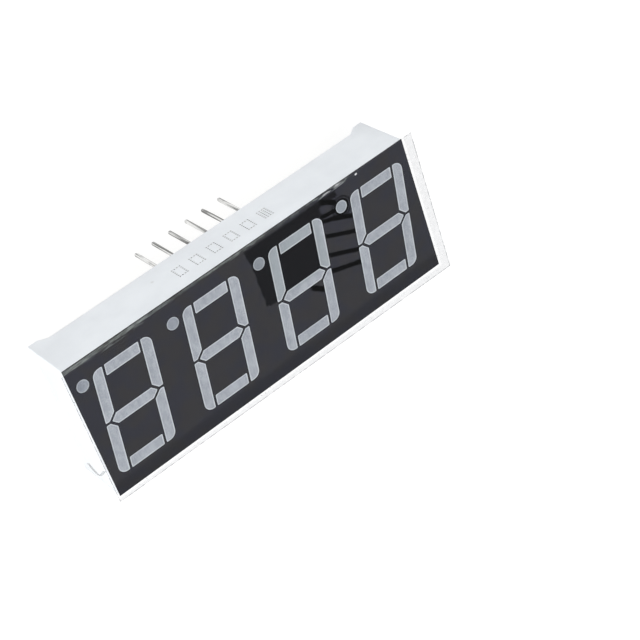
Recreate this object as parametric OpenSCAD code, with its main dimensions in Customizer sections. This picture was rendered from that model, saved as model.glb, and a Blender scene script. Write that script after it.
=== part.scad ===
// Four-digit seven segment display module, with the clear film that protects its face.
// Sizes are in millimetres. +Z points out of the face, +X is the reading direction and +Y is the
// top of the digits. The origin is the centre of the pin pattern, level with the feet's undersides.

/* [Digits] */
// Number of digits in the row
digits = 4; // [1:1:6]
// Distance from one digit to the next
digit_pitch = 12.7; // [12:0.1:20]
// Height of a digit, from the top of segment a to the bottom of segment d
digit_h = 14.2; // [10:0.1:20]
// Width of a digit, measured level, from edge to edge
digit_w = 8.2; // [7:0.1:10]
// Slant of the upright segments
digit_lean = 8; // [0:0.5:12]
// How far a digit sits left of the centre of its share of the row
digit_shift = 0.07; // [0:0.01:0.3]
// Height of the level segments a, d and g
bar_h = 1.45; // [1:0.05:2]
// Width of the upright segments b, c, e and f, measured level
bar_w = 1.4; // [1:0.05:2]
// Gap between one segment and the next
seg_gap = 0.33; // [0.2:0.01:0.6]
// From the digit's edge in to the point where the middle bevels meet
junction_inset = 0.63; // [0.3:0.01:0.9]
// Radius of the digit's four outer corners
corner_r = 1; // [0.2:0.05:1.2]
// Radius of every other segment corner
tip_r = 0.12; // [0.02:0.01:0.2]
// Diameter of the decimal point
point_d = 1.62; // [1:0.01:2.2]
// Gap from segment c to the decimal point
point_gap = 0.61; // [0.3:0.01:1.2]
// How far the decimal point reaches below the digit
point_drop = 0.05; // [0:0.01:0.4]

/* [Housing] */
// Height of the face above the feet's undersides
body_h = 8; // [6.5:0.1:12]
// Land between the last decimal point and the end of the housing
end_land = 0.731; // [0.5:0.001:4]
// Land between a pin row and the long side of the housing
side_land = 1.88; // [1.5:0.01:5]
// Thickness of the skirt round the rear pocket
wall = 0.8; // [0.4:0.05:1.2]
// Height of the corner feet below the skirt's rim
foot_h = 1; // [0.3:0.05:2]
// Length of a foot along the skirt where it stands
foot_tip = 1.35; // [0.8:0.05:3]
// Length of a foot along the skirt where it meets the rim
foot_root = 2.5; // [1.5:0.05:5]
// Size of a light cavity at the board, as a share of its mouth
cavity_taper = 0.62; // [0.5:0.01:0.8]
// Thickness of the printed ink on the face
ink_t = 0.05; // [0.02:0.01:0.1]

/* [Board and resin] */
// Thickness of the circuit board
board_t = 1; // [0.6:0.1:1.6]
// Clearance between the board's edge and the skirt
board_clear = 0.1; // [0.05:0.01:0.15]
// Thickness of the copper foil
copper_t = 0.035; // [0.017:0.001:0.07]
// Depth of the rear resin below the skirt's rim
resin_recess = 0.25; // [0:0.05:0.6]
// Thickness of the rear resin behind the board
resin_t = 0.75; // [0.65:0.05:1.5]
// How far the resin creeps out along each pin
creep_h = 0.2; // [0.05:0.05:0.4]
// Width of that creep round the pin where it leaves the resin
creep_w = 0.3; // [0.1:0.05:0.5]
// Width of that creep round the pin where it ends
creep_lip = 0.04; // [0.02:0.01:0.08]
// Width of the copper traces
trace_w = 0.35; // [0.2:0.05:0.6]
// Distance between neighbouring traces
trace_pitch = 1.2; // [0.8:0.1:1.5]

/* [Pins] */
// Number of pins in each of the two rows
pins_per_row = 6; // [2:2:8]
// Distance from pin to pin along a row
pin_pitch = 2.54; // [2:0.01:3]
// Distance from the top of the digits out to the pin row
row_offset = 0.52; // [0.4:0.01:2]
// Diameter of a pin's free length
pin_d = 0.5; // [0.3:0.01:0.7]
// How much thicker a pin is where the resin and the board hold it
pin_swell = 0.04; // [0.02:0.01:0.1]
// Length of a pin below the feet's undersides
pin_l = 6.3; // [3:0.1:12]
// Length of the narrowed tip of a pin
pin_tip_h = 0.25; // [0.1:0.05:0.5]
// Diameter of a pin at its very end
pin_tip_d = 0.26; // [0.1:0.01:0.3]
// How far a pin stands above the board, inside the housing
pin_head = 0.3; // [0.1:0.05:0.5]
// Clearance round a pin in its board hole
hole_clear = 0.15; // [0.1:0.01:0.25]
// Clearance round a pin head in the housing's relief slot
slot_clear = 0.25; // [0.1:0.01:0.3]
// Width of the copper ring round a board hole
ring_w = 0.35; // [0.2:0.01:0.5]
// Height of a solder joint's fillet
solder_h = 0.45; // [0.2:0.05:0.6]
// How hollow the solder fillet is, as the share of its height and width that its waist keeps
solder_waist = 0.33; // [0.2:0.01:0.5]

/* [LED dies] */
// Side of a square LED die
die_w = 0.25; // [0.15:0.01:0.3]
// Height of an LED die
die_h = 0.22; // [0.1:0.01:0.3]
// Side of the square copper pad under a die
die_pad_w = 0.4; // [0.3:0.01:0.45]
// Side of the square copper pad for the bond wire
bond_pad_w = 0.25; // [0.15:0.01:0.3]
// Distance from the die to the bond pad
bond_reach = 0.5; // [0.4:0.01:0.55]
// Diameter of the bond wire
wire_d = 0.05; // [0.02:0.01:0.08]

/* [Protective film] */
// Thickness of the film
film_t = 0.06; // [0.03:0.01:0.2]
// How far the film reaches past the left end of the face
film_left = 1.5; // [0:0.1:4]
// How far the film reaches past the right end of the face
film_right = 0.3; // [0:0.1:4]
// How far the film's left corner reaches past the top of the face
film_top_left = 1.25; // [0:0.05:4]
// How far the film's right corner reaches past the top of the face
film_top_right = 0.7; // [0:0.05:4]
// How far the film's left corner reaches past the bottom of the face
film_bottom_left = 0.05; // [0:0.05:4]
// How far the film's right corner stops short of the bottom of the face
film_short_right = 0.6; // [0:0.05:1.5]

/* [Hidden] */
letters = "abcdefg";
point = len(letters);        // index of the decimal point, after the seven segments
pins = 2 * pins_per_row;
function pin_name(i) = str(i < 9 ? "pin_0" : "pin_", i + 1);
function segment_name(digit, i) =
    str("digit_", digit + 1, i == point ? "_decimal_point" : str("_segment_", letters[i]));
function chips_name(digit) = str("digit_", digit + 1, "_led_chips");
function wires_name(digit) = str("digit_", digit + 1, "_bond_wires");

$fn = 48;
over = 0.5;                  // how far a cut runs past the face that it opens
corner_steps = 8;            // flats round a segment corner
slant = tan(digit_lean);
half_w = digit_w / 2;
half_h = digit_h / 2;
half_gap = seg_gap / 2;
bevel_gap = seg_gap / sqrt(2);             // the gap across a 45 degree bevel, measured level
junction = half_w - junction_inset;
bar_half = half_w - bar_w - seg_gap;       // half the length of segments a and d
middle_tip = junction - bevel_gap;         // half the length of segment g
bevel_foot = junction + bevel_gap - half_gap;
bevel_top = junction + bevel_gap - half_w + bar_w;
point_y = -half_h - point_drop + point_d / 2;
point_x = half_w + point_y * slant + point_gap + point_d / 2;
row_pitch = digit_h + 2 * row_offset;
body_l = (digits - 1) * digit_pitch + 2 * (point_x + point_d / 2 - digit_shift + end_land);
body_w = row_pitch + 2 * side_land;
board_z = foot_h + resin_recess + resin_t; // underside of the board
board_top = board_z + board_t;
resin_z = foot_h + resin_recess;           // open surface of the rear resin
pocket_l = body_l - 2 * wall;
pocket_w = body_w - 2 * wall;
held_d = pin_d + pin_swell;                // diameter of a pin where it is held
held_z = resin_z - creep_h;                // where a pin's held length begins
hole_d = pin_d + 2 * hole_clear;
ring_d = hole_d + 2 * ring_w;
slot_w = held_d + 2 * slot_clear;
slot_h = pin_head + slot_clear;
die_x = -(bond_reach - (die_pad_w - bond_pad_w) / 2) / 2;   // centres die and bond pad together
bond_x = die_x + bond_reach;
trace_end = digits * digit_pitch / 2 - digit_pitch / 4;     // where the outward traces stop

function digit_x(digit) = (digit - (digits - 1) / 2) * digit_pitch - digit_shift;
function pin_x(i) = (i < pins_per_row ? i - (pins_per_row - 1) / 2
    : (pins_per_row - 1) / 2 - (i - pins_per_row)) * pin_pitch;
function pin_y(i) = (i < pins_per_row ? -1 : 1) * row_pitch / 2;

// Segment corners in an upright digit, anticlockwise: [x, y, corner radius]
function top_bar() = [
    [-bar_half, half_h - bar_h, tip_r], [bar_half, half_h - bar_h, tip_r],
    [bar_half, half_h, tip_r], [-bar_half, half_h, tip_r]];
function middle_bar() = [
    [-middle_tip, 0, tip_r], [-middle_tip + bar_h / 2, -bar_h / 2, tip_r],
    [middle_tip - bar_h / 2, -bar_h / 2, tip_r], [middle_tip, 0, tip_r],
    [middle_tip - bar_h / 2, bar_h / 2, tip_r], [-middle_tip + bar_h / 2, bar_h / 2, tip_r]];
function upper_left() = [
    [-half_w, half_h, corner_r], [-half_w, half_gap, tip_r], [-bevel_foot, half_gap, tip_r],
    [bar_w - half_w, bevel_top, tip_r], [bar_w - half_w, half_h, tip_r]];
function turned(corners) = [for (c = corners) [-c[0], -c[1], c[2]]];
function mirrored(corners) = [for (i = [len(corners) - 1 : -1 : 0])
    [-corners[i][0], corners[i][1], corners[i][2]]];
function corners_of(i) = [
    top_bar(), mirrored(upper_left()), turned(upper_left()), turned(top_bar()),
    turned(mirrored(upper_left())), upper_left(), middle_bar()][i];

// The same corners leaned over, each rounded by a true arc that touches both its sides
function leaned(p) = [p[0] + p[1] * slant, p[1]];
function unit(v) = v / norm(v);
function corner_arc(before, p, after, r) =
    let (u = unit(before - p), v = unit(after - p), half = acos(u * v) / 2,
         centre = p + unit(u + v) * r / sin(half),
         first = p + u * r / tan(half) - centre, from = atan2(first[1], first[0]),
         turn = 180 - 2 * half)
    [for (k = [0 : corner_steps]) centre
        + r * [cos(from + turn * k / corner_steps), sin(from + turn * k / corner_steps)]];
function outline(i) =
    let (corners = corners_of(i), count = len(corners))
    [for (k = [0 : count - 1]) each corner_arc(leaned(corners[(k + count - 1) % count]),
        leaned(corners[k]), leaned(corners[(k + 1) % count]), corners[k][2])];

// Centre of each segment, where its die sits, and the direction that the die's wire runs in
upright_x = half_w - bar_w / 2;
upright_y = (half_h + half_gap) / 2;
level_y = half_h - bar_h / 2;
function centre_of(i) = i == point ? [point_x, point_y] : leaned([
    [0, level_y], [upright_x, upright_y], [upright_x, -upright_y], [0, -level_y],
    [-upright_x, -upright_y], [-upright_x, upright_y], [0, 0]][i]);
function is_upright(i) = i == 1 || i == 2 || i == 4 || i == 5;
function wire_turn(i) = is_upright(i) ? 90 - digit_lean : 0;

// A light cavity narrows evenly from its mouth in the face to the board
function taper_at(z) = 1 - (1 - cavity_taper) * (body_h - z) / (body_h - board_top);

module light_pipe(i, z_low, z_high) {
    centre = centre_of(i);
    low = taper_at(z_low);
    high = taper_at(z_high);
    translate([centre[0], centre[1], z_low])
        if (i == point)
            cylinder(h = z_high - z_low, d1 = low * point_d, d2 = high * point_d);
        else
            linear_extrude(height = z_high - z_low, scale = high / low)
                polygon(low * [for (p = outline(i)) p - centre]);
}

module all_cavities(z_low, z_high)
    for (digit = [0 : digits - 1], i = [0 : point])
        translate([digit_x(digit), 0, 0]) light_pipe(i, z_low, z_high);

module block(l, w, z_low, z_high)
    translate([-l / 2, -w / 2, z_low]) cube([l, w, z_high - z_low]);

module at_pins()
    for (i = [0 : pins - 1]) translate([pin_x(i), pin_y(i), 0]) children();

module at_segment(i) {
    centre = centre_of(i);
    translate([centre[0], centre[1], board_top]) rotate(wire_turn(i)) children();
}

module at_all_segments()
    for (digit = [0 : digits - 1], i = [0 : point])
        translate([digit_x(digit), 0, 0]) at_segment(i) children();

// Housing: one white moulding with light cavities, a rear pocket and four corner feet
module foot_profile(edge)
    polygon([[edge, 0], [edge, 2 * foot_h], [edge - foot_root, 2 * foot_h],
             [edge - foot_root, foot_h], [edge - foot_tip, 0]]);

module corner_foot() {
    translate([0, body_w / 2, 0]) rotate([90, 0, 0])
        linear_extrude(wall) foot_profile(body_l / 2);
    translate([body_l / 2 - wall, 0, 0]) rotate([90, 0, 90])
        linear_extrude(wall) foot_profile(body_w / 2);
}

module relief_slots()
    for (side = [-1, 1])
        translate([0, side * row_pitch / 2, 0])
            block((pins_per_row - 1) * pin_pitch + slot_w, slot_w, board_top - over,
                  board_top + slot_h);

module reflector_housing()
    color([0.93, 0.94, 0.95]) {
        difference() {
            block(body_l, body_w, foot_h, body_h - ink_t);
            block(pocket_l, pocket_w, foot_h - over, board_top);
            relief_slots();
            all_cavities(board_top - over, body_h + over);
        }
        for (x = [0, 1], y = [0, 1]) mirror([x, 0, 0]) mirror([0, y, 0]) corner_foot();
    }

// Ink printed on the whole face round the segments
module face_ink()
    color([0.2, 0.2, 0.22])
        difference() {
            block(body_l, body_w, body_h - ink_t, body_h);
            all_cavities(body_h - ink_t - over, body_h + over);
        }

// Clear film laid a little askew on the face
module protective_film()
    color([0.8, 0.85, 0.9, 0.3])
        translate([0, 0, body_h]) linear_extrude(film_t)
            polygon([[-body_l / 2 - film_left, -body_w / 2 - film_bottom_left],
                     [body_l / 2 + film_right, -body_w / 2 + film_short_right],
                     [body_l / 2 + film_right, body_w / 2 + film_top_right],
                     [-body_l / 2 - film_left, body_w / 2 + film_top_left]]);

// Board, drilled for the pins
module board_blank()
    block(pocket_l - 2 * board_clear, pocket_w - 2 * board_clear, board_z, board_top);

module circuit_board()
    color([0.15, 0.4, 0.25])
        difference() {
            board_blank();
            at_pins() translate([0, 0, board_z - over])
                cylinder(h = board_t + 2 * over, d = hole_d);
        }

// Copper: die and bond pads in front; rings and nested outward traces behind
module segment_pads() {
    translate([die_x - die_pad_w / 2, -die_pad_w / 2, 0]) cube([die_pad_w, die_pad_w, copper_t]);
    translate([bond_x - bond_pad_w / 2, -bond_pad_w / 2, 0])
        cube([bond_pad_w, bond_pad_w, copper_t]);
}

module trace(k) {
    start_x = (k + 0.5) * pin_pitch;
    depth = (pins_per_row / 2 - k) * trace_pitch;
    translate([start_x - trace_w / 2, row_pitch / 2 - depth - trace_w / 2])
        square([trace_w, depth + trace_w / 2]);
    translate([start_x - trace_w / 2, row_pitch / 2 - depth - trace_w / 2])
        square([trace_end - start_x + trace_w / 2, trace_w]);
}

module rear_copper()
    translate([0, 0, board_z - copper_t]) linear_extrude(copper_t)
        difference() {
            union() {
                for (x = [0, 1], y = [0, 1], k = [0 : pins_per_row / 2 - 1])
                    mirror([x, 0, 0]) mirror([0, y, 0]) trace(k);
                at_pins() circle(d = ring_d);
            }
            at_pins() circle(d = hole_d);
        }

module board_copper()
    color([0.8, 0.55, 0.3]) {
        at_all_segments() segment_pads();
        rear_copper();
    }

// Solder: a sleeve that fills each hole, and a fillet on the copper ring
module solder_joint()
    rotate_extrude()
        polygon([[held_d / 2, board_top], [hole_d / 2, board_top],
                 [hole_d / 2, board_z - copper_t], [ring_d / 2 - copper_t, board_z - copper_t],
                 [held_d / 2 + solder_waist * (ring_d - held_d) / 2,
                  board_z - copper_t - solder_waist * solder_h],
                 [held_d / 2, board_z - copper_t - solder_h]]);

module solder_joints()
    color([0.7, 0.71, 0.72]) at_pins() solder_joint();

// Resin cast behind the board and round its edge, with a small creep out along each pin
module resin_creep()
    translate([0, 0, held_z])
        cylinder(h = creep_h, d1 = held_d + 2 * creep_lip, d2 = held_d + 2 * creep_w);

module rear_resin()
    color([0.86, 0.85, 0.78])
        difference() {
            union() {
                block(pocket_l, pocket_w, resin_z, board_top);
                at_pins() resin_creep();
            }
            board_blank();
            rear_copper();
            at_pins() {
                translate([0, 0, held_z - over])
                    cylinder(h = board_z - held_z + 2 * over, d = held_d);
                solder_joint();
            }
        }

// Pin: a narrowed tip, the free length, and the slightly thicker length that is held
module pin(i)
    color([0.72, 0.72, 0.7])
        translate([pin_x(i), pin_y(i), 0]) {
            translate([0, 0, -pin_l]) cylinder(h = pin_tip_h, d1 = pin_tip_d, d2 = pin_d);
            translate([0, 0, pin_tip_h - pin_l])
                cylinder(h = pin_l - pin_tip_h + held_z, d = pin_d);
            translate([0, 0, held_z])
                cylinder(h = board_top + pin_head - held_z, d = held_d);
        }

// LED die on its pad, and the gold wire that loops from its top down to the bond pad
module die()
    translate([die_x - die_w / 2, -die_w / 2, copper_t]) cube([die_w, die_w, die_h]);

module bond_wire() {
    translate([(die_x + bond_x) / 2, 0, copper_t + die_h]) rotate([90, 0, 0])
        rotate_extrude(angle = 180) translate([bond_reach / 2, 0]) circle(d = wire_d);
    translate([bond_x, 0, copper_t]) cylinder(h = die_h, d = wire_d);
}

module led_chips(digit)
    color([0.75, 0.7, 0.45])
        translate([digit_x(digit), 0, 0])
            for (i = [0 : point]) at_segment(i) die();

module bond_wires(digit)
    color([0.85, 0.68, 0.3])
        translate([digit_x(digit), 0, 0])
            for (i = [0 : point]) at_segment(i) bond_wire();

// Diffused resin cast in one cavity, round its die, pads and wire
module segment_resin(digit, i)
    color([0.68, 0.7, 0.73])
        translate([digit_x(digit), 0, 0])
            difference() {
                light_pipe(i, board_top, body_h);
                at_segment(i) {
                    segment_pads();
                    die();
                    bond_wire();
                }
            }

reflector_housing();
face_ink();
protective_film();
circuit_board();
board_copper();
rear_resin();
solder_joints();
for (i = [0 : pins - 1])
    pin(i);
for (digit = [0 : digits - 1], i = [0 : point])
    segment_resin(digit, i);
for (digit = [0 : digits - 1])
    led_chips(digit);
for (digit = [0 : digits - 1])
    bond_wires(digit);
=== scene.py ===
import math

import bmesh
import bpy
from mathutils import Matrix, Vector, noise


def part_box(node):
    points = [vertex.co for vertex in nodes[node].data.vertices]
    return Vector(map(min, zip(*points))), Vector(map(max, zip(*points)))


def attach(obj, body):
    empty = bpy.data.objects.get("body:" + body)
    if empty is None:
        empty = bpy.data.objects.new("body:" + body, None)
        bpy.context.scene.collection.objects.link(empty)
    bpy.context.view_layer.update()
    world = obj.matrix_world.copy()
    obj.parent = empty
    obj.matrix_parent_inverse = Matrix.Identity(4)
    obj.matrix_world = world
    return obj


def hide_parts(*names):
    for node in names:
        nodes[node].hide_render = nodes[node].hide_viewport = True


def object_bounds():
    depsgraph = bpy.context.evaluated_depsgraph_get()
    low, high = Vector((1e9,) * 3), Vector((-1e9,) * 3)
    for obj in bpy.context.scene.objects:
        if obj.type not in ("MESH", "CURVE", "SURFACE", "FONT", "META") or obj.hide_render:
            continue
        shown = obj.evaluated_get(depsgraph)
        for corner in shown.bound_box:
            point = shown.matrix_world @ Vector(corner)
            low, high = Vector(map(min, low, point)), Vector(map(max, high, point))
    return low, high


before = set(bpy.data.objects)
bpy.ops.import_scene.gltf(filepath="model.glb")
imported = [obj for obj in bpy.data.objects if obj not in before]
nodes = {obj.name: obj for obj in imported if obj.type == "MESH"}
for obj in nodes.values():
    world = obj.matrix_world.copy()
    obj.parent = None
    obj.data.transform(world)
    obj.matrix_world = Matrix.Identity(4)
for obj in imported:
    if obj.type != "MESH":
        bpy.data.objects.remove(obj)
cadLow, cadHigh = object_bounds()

mm = 0.001
scene = bpy.context.scene
pinNames = sorted(name for name in nodes if name.startswith("pin_"))
segmentNames = sorted(name for name in nodes if "_segment_" in name or name.endswith("_point"))
chipNames = sorted(name for name in nodes if name.endswith("_led_chips"))
wireNames = sorted(name for name in nodes if name.endswith("_bond_wires"))
filmPoints = [vert.co.copy() for vert in nodes["protective_film"].data.vertices]
filmCorners = {
    (x, y): max(filmPoints, key=lambda co: co.x * x * 10 + co.y * y)
    for x in (-1, 1) for y in (-1, 1)}


# small helpers for shader nodes

def plug(tree, value, socket):
    if isinstance(value, bpy.types.NodeSocket):
        tree.links.new(value, socket)
    else:
        socket.default_value = value


def calc(tree, operation, *values, clamp=False):
    node = tree.nodes.new("ShaderNodeMath")
    node.operation = operation
    node.use_clamp = clamp
    for value, socket in zip(values, node.inputs):
        plug(tree, value, socket)
    return node.outputs[0]


def total(tree, *values):
    result = values[0]
    for value in values[1:]:
        result = calc(tree, "ADD", result, value)
    return calc(tree, "MINIMUM", result, 1.0)


def product(tree, *values):
    result = values[0]
    for value in values[1:]:
        result = calc(tree, "MULTIPLY", result, value)
    return result


def distance(tree, across, along):
    return calc(tree, "SQRT", calc(tree, "ADD", product(tree, across, across), product(tree, along, along)))


def fade(tree, value, start, end, low=0.0, high=1.0):
    node = tree.nodes.new("ShaderNodeMapRange")
    node.interpolation_type = "SMOOTHSTEP"
    plug(tree, value, node.inputs["Value"])
    plug(tree, start, node.inputs["From Min"])
    plug(tree, end, node.inputs["From Max"])
    plug(tree, low, node.inputs["To Min"])
    plug(tree, high, node.inputs["To Max"])
    return node.outputs["Result"]


def spread(tree, value, low, high):
    node = tree.nodes.new("ShaderNodeMapRange")
    plug(tree, value, node.inputs["Value"])
    plug(tree, low, node.inputs["To Min"])
    plug(tree, high, node.inputs["To Max"])
    return node.outputs["Result"]


def tint(tree, share, first, second):
    node = tree.nodes.new("ShaderNodeMix")
    node.data_type = "RGBA"
    plug(tree, share, node.inputs[0])
    plug(tree, first, node.inputs[6])
    plug(tree, second, node.inputs[7])
    return node.outputs[2]


def mottle(tree, place, scale, detail=3.0, stretch=(1, 1, 1)):
    mapping = tree.nodes.new("ShaderNodeMapping")
    mapping.inputs["Scale"].default_value = stretch
    plug(tree, place, mapping.inputs["Vector"])
    node = tree.nodes.new("ShaderNodeTexNoise")
    tree.links.new(mapping.outputs["Vector"], node.inputs["Vector"])
    plug(tree, scale, node.inputs["Scale"])
    node.inputs["Detail"].default_value = detail
    return node.outputs["Fac"]


def newGroup(name, inputs, outputs):
    group = bpy.data.node_groups.new(name, "ShaderNodeTree")
    for socketName, kind in inputs:
        group.interface.new_socket(name=socketName, in_out="INPUT", socket_type=kind)
    for socketName, kind in outputs:
        group.interface.new_socket(name=socketName, in_out="OUTPUT", socket_type=kind)
    return group, group.nodes.new("NodeGroupInput").outputs, group.nodes.new("NodeGroupOutput").inputs


def useGroup(tree, group, **values):
    node = tree.nodes.new("ShaderNodeGroup")
    node.node_tree = group
    for name, value in values.items():
        plug(tree, value, node.inputs[name])
    return node.outputs


def newMaterial(name, roughness, **settings):
    material = bpy.data.materials.new(name)
    material.use_nodes = True
    tree = material.node_tree
    shader = tree.nodes["Principled BSDF"]
    shader.inputs["Roughness"].default_value = roughness
    for socketName, value in settings.items():
        shader.inputs[socketName].default_value = value
    place = tree.nodes.new("ShaderNodeTexCoord").outputs["Object"]
    return material, tree, shader, place


def bump(tree, shader, height, distance, strength=1.0):
    node = tree.nodes.new("ShaderNodeBump")
    node.inputs["Strength"].default_value = strength
    node.inputs["Distance"].default_value = distance
    tree.links.new(height, node.inputs["Height"])
    tree.links.new(node.outputs["Normal"], shader.inputs["Normal"])


# shared effects

def makeSurfaceGroup():
    # fine grain, slow cloud and sparse dust for every cast or moulded surface
    group, given, result = newGroup(
        "mouldedSurface",
        [("Place", "NodeSocketVector"), ("Grain Size", "NodeSocketFloat"), ("Dust", "NodeSocketFloat")],
        [("Grain", "NodeSocketFloat"), ("Cloud", "NodeSocketFloat"), ("Dust", "NodeSocketFloat")])
    grainScale = calc(group, "DIVIDE", 1.0, given["Grain Size"])
    group.links.new(mottle(group, given["Place"], grainScale, 2.0), result["Grain"])
    group.links.new(mottle(group, given["Place"], 260.0, 3.0), result["Cloud"])
    specks = group.nodes.new("ShaderNodeTexVoronoi")
    specks.inputs["Scale"].default_value = 420.0
    group.links.new(given["Place"], specks.inputs["Vector"])
    chosen = group.nodes.new("ShaderNodeSeparateColor")
    group.links.new(specks.outputs["Color"], chosen.inputs["Color"])
    rare = calc(group, "LESS_THAN", chosen.outputs["Red"], given["Dust"])
    size = spread(group, chosen.outputs["Green"], 0.015, 0.05)
    roundness = fade(group, specks.outputs["Distance"], size, 0.005, 0.0, 1.0)
    group.links.new(calc(group, "MULTIPLY", rare, roundness), result["Dust"])
    return group


film = {
    "thickness": 0.03 * mm,
    "lift": 0.012 * mm,          # height of its slow ripples
    "gridStep": 0.2 * mm,
    "crinkle": 0.012 * mm,       # height of the crinkling along the lower cut edge
    "crinkleWidth": 0.7 * mm,
    # where the film has pulled down onto the ink: left, right, bottom, top, in millimetres
    "patches": [(-10.9, -0.75, -8.8, -0.55), (-11.7, -0.55, -8.9, -6.9), (-10.6, -1.2, -3.0, -0.3),
                (-14.5, -11.6, -8.9, -7.95)],
    # dark wrinkles between the first two digits: start, end, half width, in millimetres
    "wrinkles": [((-14.9, 2.05), (-10.4, 0.66), 0.34), ((-15.2, 0.38), (-10.8, -1.5), 0.33),
                 ((-15.4, -2.2), (-11.2, -4.05), 0.32), ((-15.7, -4.3), (-13.0, -5.6), 0.36),
                 ((-13.2, -5.5), (-11.4, -6.1), 0.3), ((-13.6, -6.45), (-11.3, -6.7), 0.28),
                 ((-14.0, -7.3), (-11.9, -8.6), 0.4), ((-8.9, 2.3), (-7.1, 0.95), 0.45)],
    "ringed": "digit_1_decimal_point",
    "bareFrom": -18.2,           # the lower cut edge bares the print from here to the right end
    "outerLine": -9.43,          # the print's outermost line stays dark
    # stretches of painted silvery highlight on the crinkle above the lower cut edge: left, right, height,
    # share, in millimetres
    "crinkleHighlights": [(-18.6, -11.0, 0.48, 1.5), (-11.5, 2.0, 0.25, 0.6), (14.0, 25.2, 0.4, 0.55)],
    "glint": (-17.92, -17.5, 0.24, 0.54),       # painted highlight: a bright glint where the crinkle ends
    # a curl of film past the right end: the places it runs through, in millimetres
    "curl": [(25.44, 5.32), (25.66, 5.38), (25.91, 5.46), (26.16, 5.5), (26.3, 5.2), (26.38, 4.85),
             (26.47, 4.48), (26.6, 3.97), (26.7, 3.35), (26.8, 2.95)],
    "curlSide": Vector((-0.15, 0, 0.4)) * mm,    # how far it hangs below the sheet and leans out
    "curlSteps": 32,
}


def makeWrinkleGroup():
    # one straight wrinkle: 1 on its line, 0 away from it
    names = ("X", "Y", "Start X", "Start Y", "Slope", "Length", "Half Width")
    group, given, result = newGroup(
        "filmWrinkle", [(name, "NodeSocketFloat") for name in names], [("Mask", "NodeSocketFloat")])
    along = calc(group, "SUBTRACT", given["X"], given["Start X"])
    line = calc(group, "MULTIPLY_ADD", along, given["Slope"], given["Start Y"])
    away = calc(group, "ABSOLUTE", calc(group, "SUBTRACT", given["Y"], line))
    outer = calc(group, "MULTIPLY", given["Half Width"], 1.15)
    inner = calc(group, "MULTIPLY", given["Half Width"], 0.75)
    across = fade(group, away, outer, inner)
    begins = fade(group, along, -0.15, 0.15)
    left = calc(group, "SUBTRACT", given["Length"], along)
    ends = fade(group, left, -0.15, 0.15)
    group.links.new(product(group, across, begins, ends), result["Mask"])
    return group


def makePatchGroup():
    # one box with soft sides
    names = ("X", "Y", "Left", "Right", "Bottom", "Top", "Soft")
    group, given, result = newGroup(
        "filmPatch", [(name, "NodeSocketFloat") for name in names], [("Mask", "NodeSocketFloat")])
    nearest = calc(group, "SUBTRACT", given["X"], given["Left"])
    nearest = calc(group, "MINIMUM", nearest, calc(group, "SUBTRACT", given["Right"], given["X"]))
    nearest = calc(group, "MINIMUM", nearest, calc(group, "SUBTRACT", given["Y"], given["Bottom"]))
    nearest = calc(group, "MINIMUM", nearest, calc(group, "SUBTRACT", given["Top"], given["Y"]))
    group.links.new(fade(group, nearest, 0.0, given["Soft"]), result["Mask"])
    return group


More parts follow.
